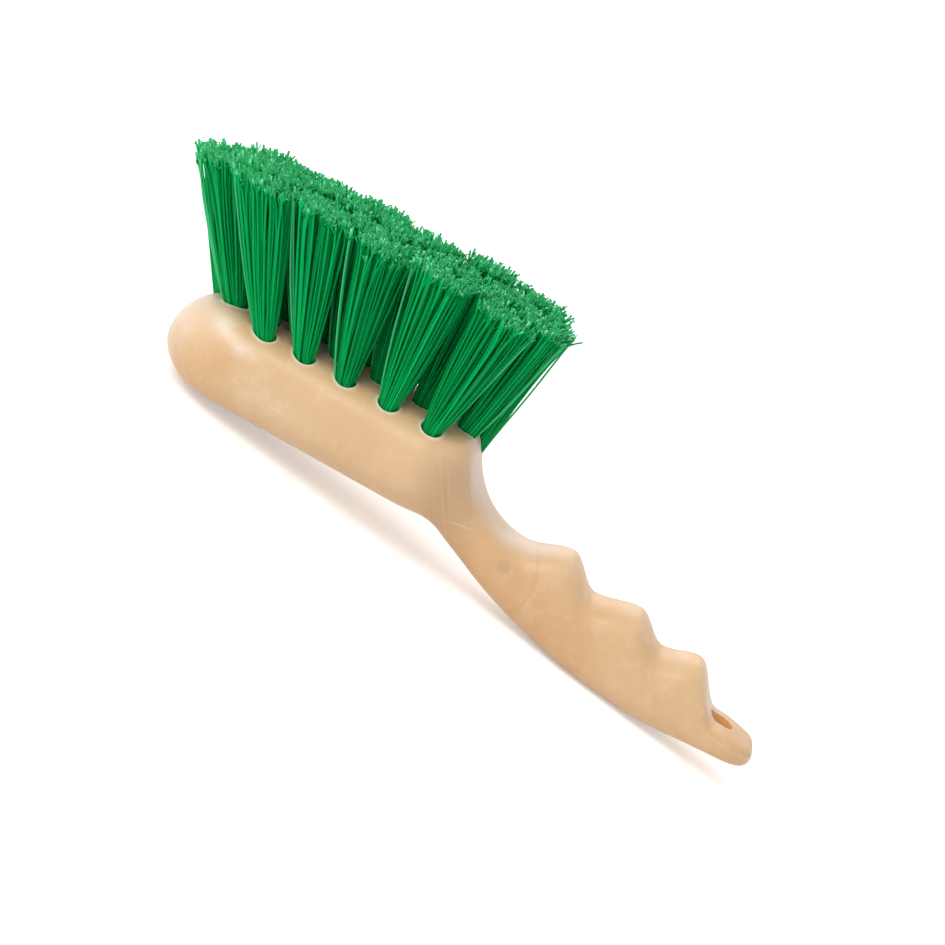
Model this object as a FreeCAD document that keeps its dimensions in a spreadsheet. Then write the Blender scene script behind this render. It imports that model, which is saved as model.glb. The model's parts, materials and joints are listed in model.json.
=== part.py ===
import FreeCAD, Part
import math
import os

import Sketcher
from FreeCAD import Placement, Rotation, Vector

# Short-handled scrub brush: a moulded foam-plastic block with its grip in one piece,
# drilled with a fan of blind holes, and a bristle tuft anchored in each hole.
#
# Design frame, in millimetres: X runs from the toe tip to the handle end, Y across, Z up along the
# bristles, with z = 0 at the lowest point of the handle's belly. At the end the whole brush is turned
# into the pose in which it lies on a table, on its toe and its belly.

doc = FreeCAD.newDocument("scrub_brush")
sheet = doc.addObject("Spreadsheet::Sheet", "sheet")

TOUCH = 0.01
DIMENSIONS = {
    # block
    "block_length": 107.0,
    "block_width": 53.0,
    "block_height": 29.0,
    "toe_radius": 24.0,
    "heel_radius": 23.0,
    "shoulder_radius": 9.5,
    "back_radius": 8.0,
    # handle
    "handle_width": 25.6,
    "handle_drop": 25.0,
    "handle_root_depth": 12.0,
    "web_height": 17.5,
    "belly_radius": 170.0,
    "belly_reach": 78.5,
    "edge_bevel": 4.0,
    "end_corner_radius": 10.0,
    # finger hollows
    "index_reach": 20.2,
    "index_height": 4.4,
    "finger_pitch": 24.6,
    "finger_fall": 4.5,
    "index_radius": 24.0,
    "middle_radius": 12.4,
    "ring_radius": 10.6,
    "crest_radius": 5.5,
    "tab_step": 29.6,
    "tab_length": 10.5,
    "tab_thickness": 8.332,
    "tab_radius": 14.0,
    # hanging hole
    "hang_hole_diameter": 8.0,
    "hang_hole_inset": 13.0,
    # tuft rows, from the near side: station of the first tuft, how far the last is from the heel, and
    # how the pitch grows along the row
    "near_outer_first": 27.4,
    "near_outer_inset": 22.48,
    "near_outer_growth": 0.22,
    "near_inner_first": 15.2,
    "near_inner_inset": 13.8,
    "near_inner_growth": 0.40,
    "far_inner_first": 8.7,
    "far_inner_inset": 9.05,
    "far_inner_growth": 0.25,
    "far_outer_first": 25.8,
    "far_outer_inset": 16.2,
    "far_outer_growth": 0.25,
    "inner_row_spacing": 11.5,
    "outer_row_inset": 7.7,
    # tufts
    "hole_diameter": 7.0,
    "hole_depth": 16.0,
    "drill_overrun": 8.0,
    "tuft_clearance": 0.1,
    "tip_diameter": 12.8,
    "groove_share": 0.76,
    "bristle_length": 41.0,
    "trim_crest_inset": 62.0,
    "trim_radius": 800.0,
    "fan_inset": 31.0,
    "fan_depth": 105.0,
    "splay_depth": 190.0,
    # anchors
    "anchor_span": 6.8,
    "anchor_width": 2.4,
    "anchor_thickness": 0.5,
    "anchor_clearance": 0.05,
    "fold_height": 1.2,
}
for row, (alias, value) in enumerate(DIMENSIONS.items(), start=1):
    sheet.set(f"A{row}", alias.replace("_", " "))
    sheet.set(f"B{row}", str(value))
    sheet.setAlias(f"B{row}", alias)
doc.recompute()


# Stations that follow from the driving sizes: those of the handle are measured from the block's heel
STATIONS = {
    "handle_root": "sheet.block_length - sheet.handle_root_depth",
    "belly_station": "sheet.block_length + sheet.belly_reach",
    "index_station": "sheet.block_length + sheet.index_reach",
    "tab_station": "sheet.block_length + sheet.index_reach + 2 * sheet.finger_pitch + sheet.tab_step",
    "handle_end": "tab_station + sheet.tab_length",
    "fan_station": "sheet.block_length - sheet.fan_inset",
    "trim_station": "sheet.block_length - sheet.trim_crest_inset",
}
stations = doc.addObject("Spreadsheet::Sheet", "stations")
for row, (alias, formula) in enumerate(STATIONS.items(), start=1):
    stations.set(f"A{row}", alias.replace("_", " "))
    stations.set(f"B{row}", f"={formula}")
    stations.setAlias(f"B{row}", alias)
doc.recompute()


def size(alias):
    """The number in the cell of that name."""
    return float(getattr(stations if alias in STATIONS else sheet, alias))


def origin_plane(body, role):
    return next(item for item in body.Origin.OriginFeatures if item.Role == role)


def sketch_on(body, role, name):
    """An empty sketch on one of the body's own origin planes."""
    sketch = body.newObject("Sketcher::SketchObject", name)
    sketch.AttachmentSupport = [(origin_plane(body, role), "")]
    sketch.MapMode = "FlatFace"
    return sketch


def drive(sketch, name, constraint, expression):
    """Add a named dimension to the sketch and bind it to the sheet."""
    index = sketch.addConstraint(constraint)
    sketch.renameConstraint(index, name)
    sketch.setExpression(f"Constraints.{name}", expression)


def flat(x, y):
    return Vector(x, y, 0)


def arc(centre, radius, start, end):
    """Counter-clockwise arc about centre, from the direction of start to that of end."""
    first = math.atan2(start[1] - centre[1], start[0] - centre[0])
    last = math.atan2(end[1] - centre[1], end[0] - centre[0])
    if last < first:
        last += 2 * math.pi
    return Part.ArcOfCircle(Part.Circle(flat(*centre), Vector(0, 0, 1), radius), first, last)


def toward(centre, point, radius):
    """The point on a circle that faces another point."""
    reach = math.dist(centre, point)
    return tuple(c + (p - c) * radius / reach for c, p in zip(centre, point))


def edge_names(shape, test):
    """Names of the edges whose middle point and box pass the test."""
    found = []
    for number, edge in enumerate(shape.Edges, start=1):
        middle = edge.valueAt(sum(edge.ParameterRange) / 2)
        if test(middle, edge.BoundBox):
            found.append(f"Edge{number}")
    return found


def dress_edges(body, kind, name, base, alias, test):
    """Fillet or chamfer the chosen edges of a feature by a size from the sheet."""
    dressed = body.newObject(f"PartDesign::{kind}", name)
    dressed.Base = (base, edge_names(base.Shape, test))
    dressed.setExpression("Radius" if kind == "Fillet" else "Size", f"sheet.{alias}")
    doc.recompute()
    return dressed


# Block: egg-shaped outline, padded and rounded
def block_outline(body):
    """Toe arc, two tapered sides, two heel corners and the heel, all tangent."""
    toe = size("toe_radius")
    heel = size("heel_radius")
    length = size("block_length")
    heel_x = length - heel
    heel_y = size("block_width") / 2 - heel
    run = math.hypot(heel_x - toe, heel_y)
    lean = math.atan2(heel_y, heel_x - toe) + math.acos((toe - heel) / run)
    side_start = (toe + toe * math.cos(lean), toe * math.sin(lean))
    side_end = (heel_x + heel * math.cos(lean), heel_y + heel * math.sin(lean))

    def down(point):
        return (point[0], -point[1])

    sketch = sketch_on(body, "XY_Plane", "block_outline")
    sketch.AttachmentOffset = Placement(Vector(0, 0, size("handle_drop")), Rotation())
    sketch.setExpression("AttachmentOffset.Base.z", "sheet.handle_drop")
    sketch.addGeometry(
        [
            arc((toe, 0), toe, side_start, down(side_start)),
            Part.LineSegment(flat(*down(side_start)), flat(*down(side_end))),
            arc((heel_x, -heel_y), heel, down(side_end), (length, -heel_y)),
            Part.LineSegment(flat(length, -heel_y), flat(length, heel_y)),
            arc((heel_x, heel_y), heel, (length, heel_y), side_end),
            Part.LineSegment(flat(*side_end), flat(*side_start)),
        ],
        False,
    )
    for piece in range(6):
        sketch.addConstraint(Sketcher.Constraint("Tangent", piece, 2, (piece + 1) % 6, 1))
    sketch.addConstraint(Sketcher.Constraint("PointOnObject", 0, 3, -1))
    sketch.addConstraint(Sketcher.Constraint("Symmetric", 3, 1, 3, 2, -1))
    sketch.addConstraint(Sketcher.Constraint("Equal", 2, 4))
    drive(sketch, "toe_radius", Sketcher.Constraint("Radius", 0, toe), "sheet.toe_radius")
    drive(sketch, "toe_centre", Sketcher.Constraint("DistanceX", -1, 1, 0, 3, toe), "sheet.toe_radius")
    drive(sketch, "heel_radius", Sketcher.Constraint("Radius", 2, heel), "sheet.heel_radius")
    drive(sketch, "length", Sketcher.Constraint("DistanceX", -1, 1, 3, 1, length), "sheet.block_length")
    drive(
        sketch,
        "heel_centre",
        Sketcher.Constraint("DistanceY", -1, 1, 4, 3, heel_y),
        "sheet.block_width / 2 - sheet.heel_radius",
    )
    return sketch


moulding = doc.addObject("PartDesign::Body", "moulding")
block_pad = moulding.newObject("PartDesign::Pad", "block_pad")
block_pad.Profile = block_outline(moulding)
block_pad.setExpression("Length", "sheet.block_height")
doc.recompute()

back_z = size("handle_drop")
face_z = back_z + size("block_height")
shoulder = dress_edges(
    moulding,
    "Fillet",
    "shoulder",
    block_pad,
    "shoulder_radius",
    lambda middle, box: box.ZMin > face_z - TOUCH,
)
back_edge = dress_edges(
    moulding,
    "Fillet",
    "back_edge",
    shoulder,
    "back_radius",
    lambda middle, box: box.ZMax < back_z + TOUCH,
)


# Handle: side profile with finger hollows, padded across and rounded
def handle_profile(body):
    """Web, four concave finger hollows joined by rounded crests, the tab and the belly arc."""
    drop = size("handle_drop")
    crest = size("crest_radius")
    belly = size("belly_radius")
    belly_x = size("belly_station")
    root_x = size("handle_root")
    end_x = size("handle_end")
    web_z = drop + size("web_height")
    tab_z = belly - math.sqrt(belly**2 - (end_x - belly_x) ** 2) + size("tab_thickness")
    radii = [size(f"{finger}_radius") for finger in ("index", "middle", "ring")] + [size("tab_radius")]
    places = [size("index_station") + n * size("finger_pitch") for n in range(3)] + [size("tab_station")]
    floors = [drop + size("index_height") - n * size("finger_fall") for n in range(3)] + [tab_z]
    hollows = [(x, z + r) for x, z, r in zip(places, floors, radii)]

    def crest_between(n):
        """Centre of the circle that touches two neighbouring hollows from below."""
        (ax, az), (bx, bz) = hollows[n], hollows[n + 1]
        reach, other = radii[n] + crest, radii[n + 1] + crest
        gap = math.hypot(bx - ax, bz - az)
        along = (reach**2 - other**2 + gap**2) / (2 * gap)
        aside = math.sqrt(reach**2 - along**2)
        ux, uz = (bx - ax) / gap, (bz - az) / gap
        return (ax + along * ux + aside * uz, az + along * uz - aside * ux)

    crests = [crest_between(n) for n in range(3)]

    def belly_z(x):
        return belly - math.sqrt(belly**2 - (x - belly_x) ** 2)

    web_end = hollows[0][0] - math.sqrt(radii[0] ** 2 - (web_z - hollows[0][1]) ** 2)

    sketch = sketch_on(body, "XZ_Plane", "handle_profile")
    pieces = [
        Part.LineSegment(flat(root_x, belly_z(root_x)), flat(root_x, web_z)),
        Part.LineSegment(flat(root_x, web_z), flat(web_end, web_z)),
    ]
    start = (web_end, web_z)
    for n in range(3):
        left = toward(hollows[n], crests[n], radii[n])
        right = toward(hollows[n + 1], crests[n], radii[n + 1])
        pieces.append(arc(hollows[n], radii[n], start, left))
        pieces.append(arc(crests[n], crest, right, left))
        start = right
    pieces.append(arc(hollows[3], radii[3], start, (places[3], tab_z)))
    pieces.append(Part.LineSegment(flat(places[3], tab_z), flat(end_x, tab_z)))
    pieces.append(Part.LineSegment(flat(end_x, tab_z), flat(end_x, belly_z(end_x))))
    pieces.append(arc((belly_x, belly), belly, (root_x, belly_z(root_x)), (end_x, belly_z(end_x))))
    sketch.addGeometry(pieces, False)

    root, web, tab, end, underside = 0, 1, 9, 10, 11
    hollow_arcs = (2, 4, 6, 8)
    crest_arcs = (3, 5, 7)
    for a, a_end, b, b_end in (
        (root, 2, web, 1),
        (web, 2, hollow_arcs[0], 1),
        (tab, 2, end, 1),
        (end, 2, underside, 2),
        (underside, 1, root, 1),
    ):
        sketch.addConstraint(Sketcher.Constraint("Coincident", a, a_end, b, b_end))
    for n, crest_arc in enumerate(crest_arcs):
        sketch.addConstraint(Sketcher.Constraint("Tangent", hollow_arcs[n], 2, crest_arc, 2))
        sketch.addConstraint(Sketcher.Constraint("Tangent", crest_arc, 1, hollow_arcs[n + 1], 1))
    sketch.addConstraint(Sketcher.Constraint("Tangent", hollow_arcs[3], 2, tab, 1))
    for line in (root, end):
        sketch.addConstraint(Sketcher.Constraint("Vertical", line))
    for line in (web, tab):
        sketch.addConstraint(Sketcher.Constraint("Horizontal", line))
    for n, finger in enumerate(("index", "middle", "ring")):
        radius = Sketcher.Constraint("Radius", hollow_arcs[n], radii[n])
        drive(sketch, f"{finger}_radius", radius, f"sheet.{finger}_radius")
        across = Sketcher.Constraint("DistanceX", -1, 1, hollow_arcs[n], 3, hollows[n][0])
        drive(sketch, f"{finger}_station", across, f"stations.index_station + {n} * sheet.finger_pitch")
        height = Sketcher.Constraint("DistanceY", -1, 1, hollow_arcs[n], 3, hollows[n][1])
        floor = f"sheet.handle_drop + sheet.index_height - {n} * sheet.finger_fall"
        drive(sketch, f"{finger}_centre", height, f"{floor} + sheet.{finger}_radius")
    for n in (1, 2):
        sketch.addConstraint(Sketcher.Constraint("Equal", crest_arcs[0], crest_arcs[n]))
    for name, constraint, expression in (
        ("crest_radius", ("Radius", crest_arcs[0], crest), "sheet.crest_radius"),
        ("tab_radius", ("Radius", hollow_arcs[3], radii[3]), "sheet.tab_radius"),
        ("tab_station", ("DistanceX", -1, 1, hollow_arcs[3], 3, places[3]), "stations.tab_station"),
        ("tab_thickness", ("DistanceY", end, 2, end, 1, tab_z - belly_z(end_x)), "sheet.tab_thickness"),
        ("belly_radius", ("Radius", underside, belly), "sheet.belly_radius"),
        ("belly_station", ("DistanceX", -1, 1, underside, 3, belly_x), "stations.belly_station"),
        ("belly_level", ("DistanceY", -1, 1, underside, 3, belly), "sheet.belly_radius"),
        ("root_station", ("DistanceX", -1, 1, root, 1, root_x), "stations.handle_root"),
        ("end_station", ("DistanceX", -1, 1, end, 1, end_x), "stations.handle_end"),
        ("web_level", ("DistanceY", -1, 1, web, 1, web_z), "sheet.handle_drop + sheet.web_height"),
    ):
        drive(sketch, name, Sketcher.Constraint(*constraint), expression)
    return sketch


grip = doc.addObject("PartDesign::Body", "grip")
grip_pad = grip.newObject("PartDesign::Pad", "grip_pad")
grip_pad.Profile = handle_profile(grip)
grip_pad.Midplane = True
grip_pad.setExpression("Length", "sheet.handle_width")
doc.recompute()

half_width = size("handle_width") / 2
end_x = size("handle_end")
corner_x = end_x - size("end_corner_radius")
end_corners = dress_edges(
    grip,
    "Fillet",
    "end_corners",
    grip_pad,
    "end_corner_radius",
    lambda middle, box: box.XMin > end_x - TOUCH and box.YLength < TOUCH,
)


def on_rim(middle, box):
    """True for the long edges between the flanks and the top or the belly, and round the end."""
    upright = box.XLength < TOUCH and box.YLength < TOUCH
    across = box.YLength > 2 * half_width - TOUCH
    beside = abs(abs(middle.y) - half_width) < TOUCH
    return (beside or middle.x > corner_x) and not upright and not across


grip_edges = dress_edges(grip, "Chamfer", "grip_edges", end_corners, "edge_bevel", on_rim)

joined = moulding.newObject("PartDesign::Boolean", "joined")
joined.Type = "Fuse"
joined.setObjects([grip])
doc.recompute()

# Hanging hole through the tab
hang_x = end_x - size("hang_hole_inset")
hang_r = size("hang_hole_diameter") / 2
hang_sketch = sketch_on(moulding, "XY_Plane", "hang_hole_sketch")
hang_sketch.addGeometry(Part.Circle(flat(hang_x, 0), Vector(0, 0, 1), hang_r), False)
hang_sketch.addConstraint(Sketcher.Constraint("PointOnObject", 0, 3, -1))
drive(
    hang_sketch,
    "station",
    Sketcher.Constraint("DistanceX", -1, 1, 0, 3, hang_x),
    "stations.handle_end - sheet.hang_hole_inset",
)
drive(hang_sketch, "radius", Sketcher.Constraint("Radius", 0, hang_r), "sheet.hang_hole_diameter / 2")
hang_hole = moulding.newObject("PartDesign::Pocket", "hang_hole")
hang_hole.Profile = hang_sketch
hang_hole.Type = "ThroughAll"
hang_hole.Midplane = True
doc.recompute()
if joined.Shape.Volume - hang_hole.Shape.Volume < 1:
    raise RuntimeError("the hanging hole cut nothing")



# Anchor: a flat strip of wire that lies over the fold of a bundle and bites on the wall of its hole
def anchor_body(name, slack):
    """Upright strip centred over z = 0, its lower edge there, grown all round by a slack if named."""
    body = doc.addObject("PartDesign::Body", name)
    grown = f" + 2 * sheet.{slack}" if slack else ""
    span = size("anchor_span") + (2 * size(slack) if slack else 0)
    thickness = size("anchor_thickness") + (2 * size(slack) if slack else 0)
    sketch = sketch_on(body, "XY_Plane", f"{name}_outline")
    corners = [(-span / 2, -thickness / 2), (span / 2, -thickness / 2)]
    corners += [(x, -y) for x, y in reversed(corners)]
    for n in range(4):
        sketch.addGeometry(Part.LineSegment(flat(*corners[n]), flat(*corners[(n + 1) % 4])), False)
    for n in range(4):
        sketch.addConstraint(Sketcher.Constraint("Coincident", n, 2, (n + 1) % 4, 1))
    for n in (0, 2):
        sketch.addConstraint(Sketcher.Constraint("Horizontal", n))
        sketch.addConstraint(Sketcher.Constraint("Vertical", n + 1))
    sketch.addConstraint(Sketcher.Constraint("Symmetric", 0, 1, 2, 1, -1, 1))
    drive(sketch, "span", Sketcher.Constraint("Distance", 0, span), f"sheet.anchor_span{grown}")
    thick = Sketcher.Constraint("Distance", 1, thickness)
    drive(sketch, "thickness", thick, f"sheet.anchor_thickness{grown}")
    if slack:
        sketch.setExpression("AttachmentOffset.Base.z", f"-sheet.{slack}")
    pad = body.newObject("PartDesign::Pad", f"{name}_pad")
    pad.Profile = sketch
    pad.setExpression("Length", f"sheet.anchor_width{grown}")
    doc.recompute()
    return body


anchor = anchor_body("anchor", None)
anchor_slot = anchor_body("anchor_slot", "anchor_clearance")


# Tufts: one fan of drilled holes, each with its bundle and anchor
LOCKS = 6
ROWS = {
    "near_outer": {"tufts": 5, "side": -1},
    "near_inner": {"tufts": 7, "side": -1},
    "far_inner": {"tufts": 8, "side": 1},
    "far_outer": {"tufts": 6, "side": 1},
}


def tuft_station(row, n, last):
    """Station of tuft n: rows run from the toe to the heel, with a pitch that grows on the way."""
    first = size(f"{row}_first")
    growth = size(f"{row}_growth")
    reach = size("block_length") - size(f"{row}_inset") - first
    pitch = reach / last - last * growth
    return first + n * pitch + n * n * growth


def row_offset(row, x):
    """Distance of a row from the middle plane: outer rows follow the block's tapered side."""
    if row.endswith("inner"):
        return size("inner_row_spacing") / 2
    toe = size("toe_radius")
    heel_x = size("block_length") - size("heel_radius")
    share = (x - toe) / (heel_x - toe)
    return toe + (size("block_width") / 2 - toe) * share - size("outer_row_inset")


def fan_direction(x, y):
    """Unit vector of a tuft: away from the fan's focus along X, and a slight splay along Y."""
    lean = Vector((x - size("fan_station")) / size("fan_depth"), y / size("splay_depth"), 1)
    return lean.normalize()


def field_tangent(mouth, direction):
    """Point and normal where a bundle's middle meets the crowned field that the clippers leave."""
    radius = size("trim_radius")
    crown = Vector(size("trim_station"), 0, face_z + size("bristle_length") - radius)
    run = Vector(direction.x, 0, direction.z)
    start = Vector(mouth.x, 0, mouth.z) - crown
    across = start.dot(run) / run.dot(run)
    left = (radius**2 - start.dot(start)) / run.dot(run)
    point = mouth + direction * (math.sqrt(across**2 + left) - across)
    return point, Vector(point.x - crown.x, 0, point.z - crown.z).normalize()


def ring(radius, place):
    """Corners of a bundle at one level: its locks of bristles stand out, with grooves between them."""
    reaches = [radius, radius * size("groove_share")] * LOCKS
    steps = [math.pi * n / LOCKS for n in range(2 * LOCKS)]
    corners = [Vector(reach * math.cos(a), reach * math.sin(a), 0) for reach, a in zip(reaches, steps)]
    return [place.multVec(corner) for corner in corners]


def clipped(low, high, point, normal):
    """Corners at which the edges from one ring to the next meet a clipping plane."""
    runs = [(start, end - start) for start, end in zip(low, high)]
    return [start + run * ((point - start).dot(normal) / run.dot(normal)) for start, run in runs]


def flat_face(*corners):
    return Part.Face(Part.makePolygon([*corners, corners[0]]))


def bundle_solid(rings):
    """Solid with flat sides through rings whose edges all run to one point or side by side."""
    faces = [flat_face(*rings[0]), flat_face(*rings[-1])]
    for low, high in zip(rings, rings[1:]):
        for n in range(len(low)):
            after = (n + 1) % len(low)
            faces.append(flat_face(low[n], low[after], high[after], high[n]))
    return Part.Solid(Part.Shell(faces))


def placed_copy(name, body, place):
    copy = doc.addObject("Part::Feature", name)
    copy.Shape = body.Shape
    copy.Placement = place
    return copy


solid_block = moulding.Shape
drills = []
tufts = []
anchors = {row: [] for row in ROWS}
for row, plan in ROWS.items():
    for n in range(plan["tufts"]):
        name = f"{row}_{n + 1}"
        x = tuft_station(row, n, plan["tufts"] - 1)
        y = plan["side"] * row_offset(row, x)
        direction = fan_direction(x, y)
        on_face = Vector(x, y, face_z)
        inside = on_face - direction * size("block_height") * 0.5
        ray = Part.makeLine(inside, on_face + direction * size("drill_overrun"))
        mouth = max(solid_block.common(ray).Vertexes, key=lambda vertex: vertex.Z).Point
        turn = Rotation(Vector(0, 0, 1), direction)
        floor = Placement(mouth - direction * size("hole_depth"), turn)
        seat = Placement(mouth - direction * (size("hole_depth") - size("fold_height")), turn)

        drill = doc.addObject("Part::Cylinder", f"drill_{name}")
        drill.setExpression("Radius", "sheet.hole_diameter / 2")
        drill.setExpression("Height", "sheet.hole_depth + sheet.drill_overrun")
        drill.Placement = floor
        drills.append(drill)

        root_radius = size("hole_diameter") / 2 - size("tuft_clearance")
        root_ring = ring(root_radius, floor)
        mouth_ring = ring(root_radius, Placement(mouth, turn))
        point, normal = field_tangent(mouth, direction)
        open_ring = ring(size("tip_diameter") / 2, Placement(point, turn))
        bundle = doc.addObject("Part::Feature", f"bundle_{name}")
        bundle.Shape = bundle_solid([root_ring, mouth_ring, clipped(mouth_ring, open_ring, point, normal)])
        tuft = doc.addObject("Part::Cut", f"tuft_{name}")
        tuft.Base = bundle
        tuft.Tool = placed_copy(f"slot_{name}", anchor_slot, seat)
        tufts.append(tuft)
        anchors[row].append(placed_copy(f"anchor_{name}", anchor, seat))

drilling = doc.addObject("Part::Compound", "drilling")
drilling.Links = drills
handle_block = doc.addObject("Part::Cut", "handle_block")
handle_block.Base = moulding
handle_block.Tool = drilling
nodes = [handle_block] + tufts
for row, copies in anchors.items():
    group = doc.addObject("Part::Compound", f"anchors_{row}")
    group.Links = copies
    nodes.append(group)
doc.recompute()


# Rest pose: on a table, the toe's rounded back and the handle's belly touch
def rest_tilt():
    """Angle at which the toe arc and the belly arc have a common level tangent below them."""
    toe = Vector(size("back_radius"), 0, back_z + size("back_radius"))
    belly = Vector(size("belly_station"), 0, size("belly_radius"))
    across = belly - toe
    rise = math.atan2(across.x, across.z)
    return rise - math.acos((size("belly_radius") - size("back_radius")) / across.Length)


tilt = rest_tilt()
pose = Placement(Vector(), Rotation(Vector(0, 1, 0), -math.degrees(tilt)))
for node in nodes:
    node.Placement = pose
box = FreeCAD.BoundBox()
for node in nodes:
    box.add(node.Shape.optimalBoundingBox(False, False))
pose.Base = Vector(-box.Center.x, 0, -box.ZMin)
for node in nodes:
    node.Placement = pose

# Every object must be sound before its file is written
for item in doc.Objects:
    if "Invalid" in item.State or "Error" in item.State:
        raise RuntimeError(f"{item.Name} failed: {item.State}")
os.makedirs("parts", exist_ok=True)
for node in nodes:
    if node.Shape.isNull() or not node.Shape.isValid():
        raise RuntimeError(f"{node.Label} has no sound shape")
    node.Shape.exportStep(f"parts/{node.Label}.step")
spread = " x ".join(f"{length:.1f}" for length in (box.XLength, box.YLength, box.ZLength))
print(f"{len(nodes)} nodes, lying at {math.degrees(tilt):.2f} degrees, {spread} mm")
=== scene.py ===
import json
import math

import bpy
import numpy as np
from mathutils import Matrix, Vector


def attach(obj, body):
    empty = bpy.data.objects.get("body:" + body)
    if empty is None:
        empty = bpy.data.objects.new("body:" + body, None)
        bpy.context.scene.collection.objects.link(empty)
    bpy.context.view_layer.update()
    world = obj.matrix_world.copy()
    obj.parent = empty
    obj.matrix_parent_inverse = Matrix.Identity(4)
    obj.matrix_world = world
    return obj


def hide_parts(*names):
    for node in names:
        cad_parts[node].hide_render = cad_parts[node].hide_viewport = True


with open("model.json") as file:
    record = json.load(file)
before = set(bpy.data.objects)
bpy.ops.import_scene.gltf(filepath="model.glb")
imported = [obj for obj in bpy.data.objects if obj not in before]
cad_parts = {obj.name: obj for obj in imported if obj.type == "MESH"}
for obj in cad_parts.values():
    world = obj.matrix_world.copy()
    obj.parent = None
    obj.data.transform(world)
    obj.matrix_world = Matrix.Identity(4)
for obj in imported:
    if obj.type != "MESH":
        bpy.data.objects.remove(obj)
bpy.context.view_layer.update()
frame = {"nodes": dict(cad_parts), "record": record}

bl_info = {
    "name": "Scrub Brush",
    "version": (1, 0, 0),
    "blender": (4, 5, 0),
    "location": "View3D > Sidebar > Scrub Brush",
    "description": "Dresses a short-handled scrub brush: soft moulding, bristle tufts, anchors and a studio",
    "category": "Object",
}

MM = 0.001
ROOT = "root"
BLOCK_NODE = "handle_block"
TUFT_NODES = sorted(name for name in frame["nodes"] if name.startswith("tuft_"))
ANCHOR_NODES = sorted(name for name in frame["nodes"] if name.startswith("anchors_"))
HANG_HOLE = frame["record"]["mounts"][0]


def linear(red, green, blue):
    """Linear colour of an sRGB colour written as 0 to 255."""
    channels = np.array([red, green, blue]) / 255.0
    low = channels / 12.92
    high = ((channels + 0.055) / 1.055) ** 2.4
    return tuple(float(value) for value in np.where(channels <= 0.04045, low, high))


def length_prop(name, description, millimetres):
    default = millimetres * MM
    return bpy.props.FloatProperty(name=name, description=description, default=default, unit="LENGTH")


def angle_prop(name, description, degrees):
    default = math.radians(degrees)
    return bpy.props.FloatProperty(name=name, description=description, default=default, subtype="ANGLE")


def colour_prop(name, description, red, green, blue):
    return bpy.props.FloatVectorProperty(
        name=name,
        description=description,
        default=linear(red, green, blue),
        size=3,
        min=0.0,
        max=1.0,
        subtype="COLOR",
    )


class BrushMouldingSettings(bpy.types.PropertyGroup):
    """Sizes and colours of the one-piece block and handle."""

    block_length: length_prop("Block length", "From the toe tip to the heel", 107.0)
    block_width: length_prop("Block width", "Widest across the block, near the heel", 53.0)
    block_height: length_prop("Block height", "From the flat back to the face", 29.0)
    toe_radius: length_prop("Toe radius", "Radius of the toe seen from above", 24.0)
    face_radius: length_prop("Face rounding", "Rounding of the toe at the face, seen from the side", 16.4)
    back_radius: length_prop("Back rounding", "Rounding of the toe at the back, seen from the side", 12.4)
    heel_reach: length_prop("Heel rounding", "Reach of the rounding between face and heel", 6.0)
    handle_width: length_prop("Handle width", "Across the handle", 25.6)
    handle_drop: length_prop("Handle drop", "From the back down to the belly's lowest point", 25.0)
    handle_end: length_prop("Handle end", "From the toe tip to the end of the handle", 216.5)
    belly_radius: length_prop("Belly radius", "Radius of the handle's lower side", 170.0)
    belly_station: length_prop("Belly station", "Where the belly is lowest, from the toe tip", 185.5)
    hole_radius: length_prop("Tuft hole radius", "Radius of the holes that the tufts sit in", 3.5)
    hole_depth: length_prop("Tuft hole depth", "Depth of the holes along their axes", 16.0)
    hang_inset: length_prop("Hanging hole inset", "From the handle end to the middle of the hole", 13.0)
    tan: colour_prop("Tan", "Body colour of the plastic", 222, 184, 140)
    pale: colour_prop("Pale", "Colour of worn and thin places", 240, 217, 190)
    amber: colour_prop("Amber", "Warmer colour of the thick and flowed places", 212, 166, 114)


class BrushTuftSettings(bpy.types.PropertyGroup):
    """Sizes, counts and colours of the bristle tufts."""

    filaments: bpy.props.IntProperty(name="Filaments", description="Filaments in a tuft", default=104, min=8)
    thickness: length_prop("Filament thickness", "Diameter of one filament", 0.76)
    bundle_radius: length_prop("Bundle radius", "Radius of a tuft where it leaves the block", 3.34)
    spread_along: length_prop("Spread along", "Half width of a tuft at its tips, along the block", 8.7)
    spread_across: length_prop("Spread across", "Half width of a tuft at its tips, across the block", 7.4)
    locks: bpy.props.IntProperty(
        name="Locks", description="Locks that a tuft's filaments gather in", default=6
    )
    groove: bpy.props.FloatProperty(
        name="Groove", description="Reach of a groove as a share of a lock's", default=0.84
    )
    strays: bpy.props.IntProperty(
        name="Strays", description="Pale filaments that stand off a tuft", default=2
    )
    stray_reach: length_prop("Stray reach", "How far a stray's tip stands off its tuft", 1.5)
    seed: bpy.props.IntProperty(name="Seed", description="Seed of the scatter", default=11)
    green: colour_prop("Green", "Body colour of the filaments", 0, 161, 80)
    deep: colour_prop("Deep green", "Colour of the darkest filaments", 0, 145, 70)
    mint: colour_prop("Mint", "Colour of the cut and frayed tips", 128, 232, 178)


class BrushStageSettings(bpy.types.PropertyGroup):
    """Camera, light and floor."""

    distance: length_prop("Camera distance", "From the camera to the middle of the brush", 850.0)
    view_width: length_prop("View width", "Width that the picture covers at the brush", 284.4)
    elevation: angle_prop("Elevation", "Camera height over the block's face", 14.9)
    roll: angle_prop("Roll", "Turn of the brush in the picture", 28.8)
    aim_along: length_prop("Aim along", "Middle of the picture, from the toe tip", 101.0)
    aim_height: length_prop("Aim height", "Middle of the picture, above the belly", 41.5)
    floor: colour_prop("Floor", "Colour of the floor and the backdrop", 250, 250, 250)


def settings(name):
    return getattr(bpy.context.scene, name)


def mm(group, *names):
    """Lengths of a settings group, in millimetres."""
    return [getattr(group, name) / MM for name in names]


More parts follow.
